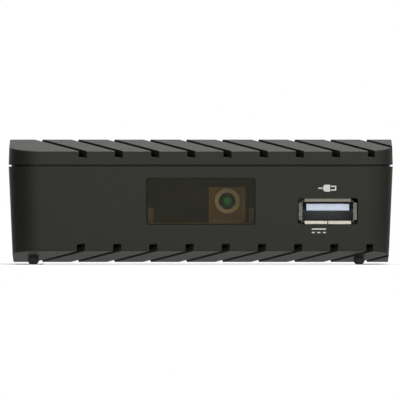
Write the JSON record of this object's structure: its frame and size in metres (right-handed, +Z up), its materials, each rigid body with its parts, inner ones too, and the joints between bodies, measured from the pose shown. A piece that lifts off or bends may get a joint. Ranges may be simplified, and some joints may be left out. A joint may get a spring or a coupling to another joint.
{
  "type": "digital television tuner",
  "caption": "Small black set-top box that receives digital television, with diagonal vent slots, a smoked front window, a front data socket and rear sockets.",
  "frame": {"origin": "on the table under the middle of the box that holds the whole object", "axes": "+X to the right seen from the front, +Y from the front to the rear, +Z up"},
  "size_m": [0.0946, 0.0754, 0.0308],
  "materials": {
    "case_plastic": "fine matt texture",
    "smoked_window": "smoked, smooth and clear",
    "foot_rubber": "matt",
    "screw_steel": "dull zinc",
    "circuit_board": "green solder resist",
    "holder_plastic": "beige, matt",
    "collar_plastic": "pale beige, satin",
    "lamp_resin": "green, clear",
    "receiver_resin": "dark, glossy",
    "tinned_lead": "tinned",
    "plated_steel": "bright tin plating",
    "nickel_plating": "nickel plating",
    "gilt_contact": "thin gilt plating",
    "white_plastic": "off-white, slightly glossy",
    "black_plastic": "satin",
    "yellow_plastic": "yellow, satin",
    "chip_resin": "matt moulding resin",
    "thermal_rubber": "soft, matt",
    "sink_aluminium": "plain extrusion",
    "can_aluminium": "plain can",
    "ferrite": "dark ferrite",
    "resistor_ceramic": "fired film"
  },
  "bodies": {
    "case": {"top_cover": "case_plastic", "bottom_tub": "case_plastic", "rear_panel": "case_plastic", "front_window": "smoked_window", "foot_front_left": "foot_rubber", "foot_front_right": "foot_rubber", "foot_rear_left": "foot_rubber", "foot_rear_right": "foot_rubber", "case_screws": "screw_steel", "board_screws": "screw_steel", "main_board": "circuit_board", "lamp_holder": "holder_plastic", "lamp_collar": "collar_plastic", "status_lamp": "lamp_resin", "infrared_receiver": "receiver_resin", "lamp_leads": "tinned_lead", "receiver_leads": "tinned_lead", "chip_leads": "tinned_lead", "av_jack_terminals": "tinned_lead", "power_jack_terminals": "tinned_lead", "data_socket_shell": "plated_steel", "video_socket_shell": "plated_steel", "tuner_can": "plated_steel", "tuner_lid": "plated_steel", "aerial_in_shell": "nickel_plating", "aerial_out_sleeve": "nickel_plating", "power_jack_pin": "nickel_plating", "aerial_out_pin": "nickel_plating", "crystal": "nickel_plating", "data_socket_contacts": "gilt_contact", "video_socket_contacts": "gilt_contact", "aerial_in_contact": "gilt_contact", "data_socket_tongue": "white_plastic", "aerial_in_insulator": "white_plastic", "aerial_out_insulator": "white_plastic", "video_socket_tongue": "black_plastic", "av_jack_body": "black_plastic", "power_jack_body": "black_plastic", "window_baffle": "black_plastic", "av_jack_bushing": "yellow_plastic", "system_chip": "chip_resin", "memory_chip": "chip_resin", "flash_chip": "chip_resin", "voltage_regulator": "chip_resin", "tuner_chip": "chip_resin", "thermal_pad": "thermal_rubber", "heat_sink": "sink_aluminium", "capacitors": "can_aluminium", "power_inductors": "ferrite", "chip_resistors": "resistor_ceramic"},
    "av_spring": {"av_jack_spring": "gilt_contact"},
    "power_spring": {"power_jack_spring": "gilt_contact"}
  },
  "joints": [
    {"name": "av_spring_flex", "type": "hinge", "parent": "case", "child": "av_spring", "pos_m": [-0.0182, 0.01375, 0.01546], "axis": [1, 0, 0], "range_deg": [0, 3.5], "stiffness_Nm_per_rad": 0.09},
    {"name": "power_spring_flex", "type": "hinge", "parent": "case", "child": "power_spring", "pos_m": [-0.031, 0.01225, 0.01281], "axis": [-1, 0, 0], "range_deg": [0, 4], "stiffness_Nm_per_rad": 0.09}
  ]
}
